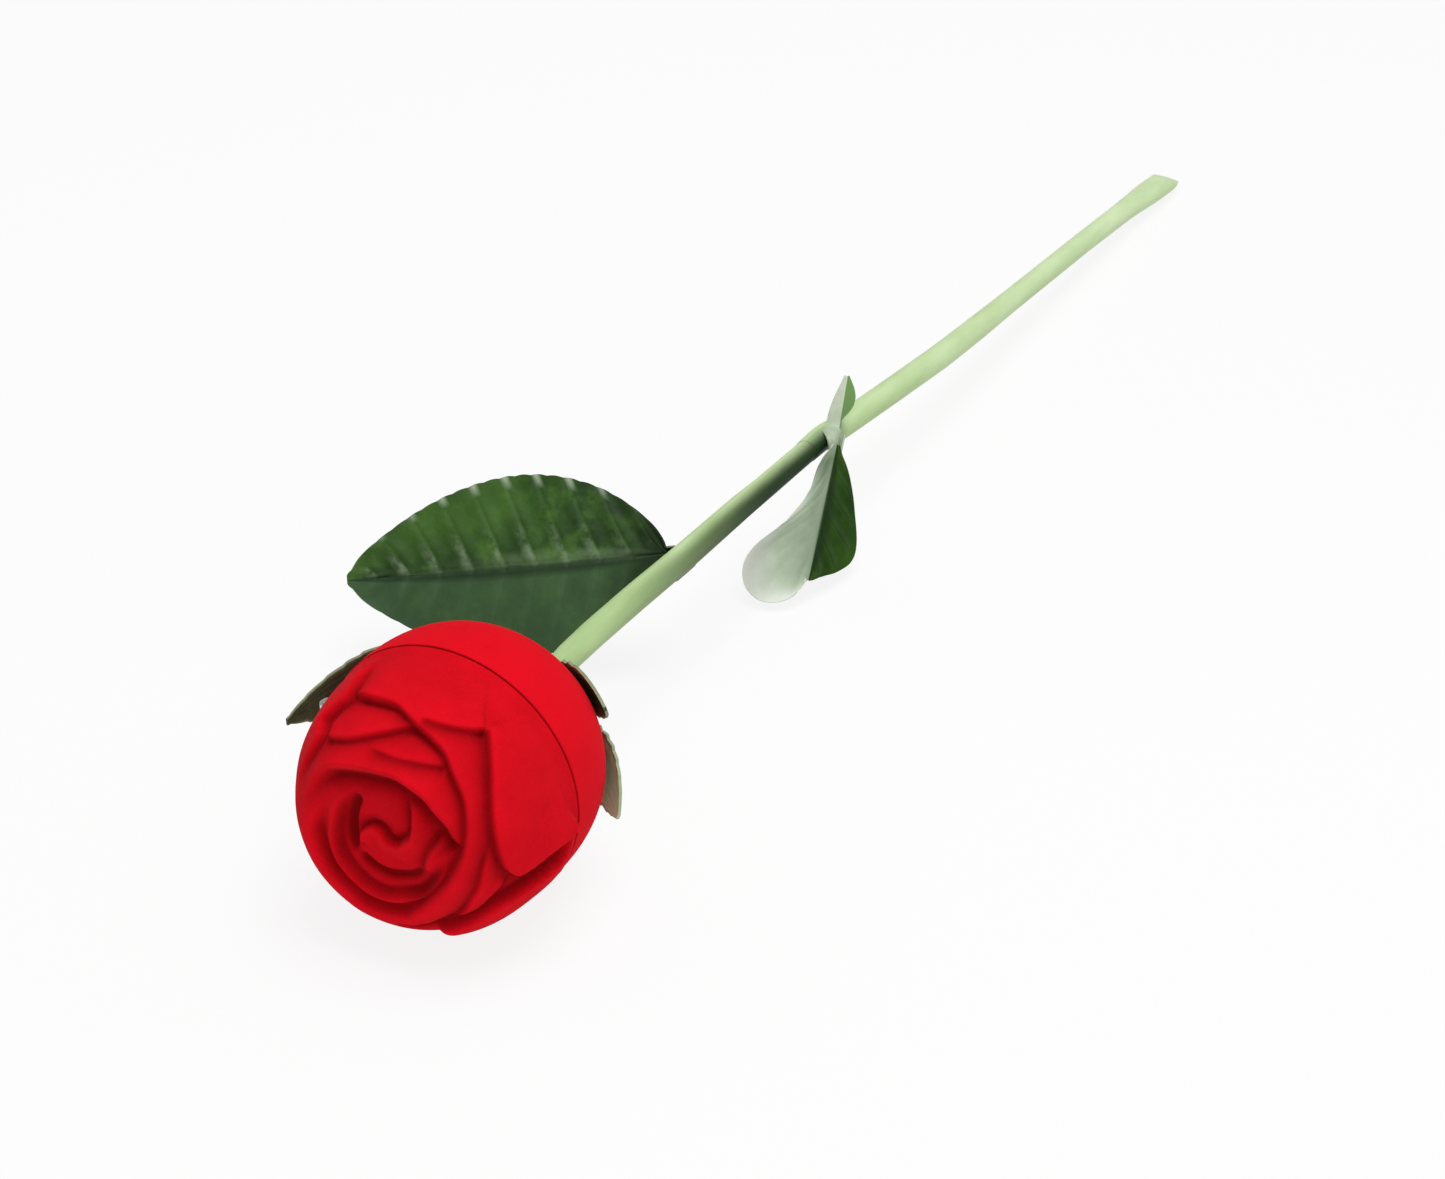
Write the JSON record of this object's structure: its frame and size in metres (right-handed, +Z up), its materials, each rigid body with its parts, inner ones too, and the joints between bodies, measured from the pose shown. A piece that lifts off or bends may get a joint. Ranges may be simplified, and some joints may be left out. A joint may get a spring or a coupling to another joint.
{
  "type": "rosebud ring box",
  "caption": "Ring box shaped as a closed rosebud on an artificial stem with leaves; the petalled lid swings open on a small hinge over a slotted ring cushion.",
  "frame": {"origin": "centre of the ring slot's mouth, on the bud's axis in the plane of the seam between cup and lid", "axes": "+Z up as the box lies on a table; +Y from the bud along the stem; the lid's face looks to -Y and its hinge is on the -X side"},
  "size_m": [0.0768, 0.3071, 0.046],
  "materials": {
    "velvet": "moulded plastic flocked with short red velvet pile",
    "lining": "thin formed lining, flocked dark red",
    "cushion": "red velvet over foam",
    "foam": "open-cell foam",
    "board": "grey card",
    "steel": "stamped and plated steel",
    "wire": "drawn steel wire",
    "stem": "pale green moulded plastic",
    "sepal": "dark green moulded plastic",
    "leaf": "glossy dark green leaf, veined",
    "leaf_back": "pale matte underside on one half, glossy dark green on the other"
  },
  "bodies": {
    "rose": {"cup_shell": "velvet", "cup_lining": "lining", "foam_block": "foam", "cushion_board": "board", "cushion_roll_left": "cushion", "cushion_roll_right": "cushion", "hinge_leaf_cup": "steel", "hinge_pin": "steel", "snap_spring": "steel", "rivets_cup": "steel", "calyx": "sepal", "stem_plug": "stem", "stem_wire": "wire", "stem_tube_upper": "stem", "stem_tube_lower": "stem", "large_leaf_blade": "leaf", "large_leaf_sprig": "sepal", "small_leaf_blade": "leaf_back", "small_leaf_sprig": "stem"},
    "lid": {"lid_shell": "velvet", "lid_lining": "lining", "hinge_leaf_lid": "steel", "rivets_lid": "steel"}
  },
  "joints": [
    {"name": "lid_hinge", "type": "hinge", "parent": "rose", "child": "lid", "pos_m": [-0.0233, -0.00015, 0], "axis": [0, 0, -1], "range_deg": [0, 85]}
  ]
}
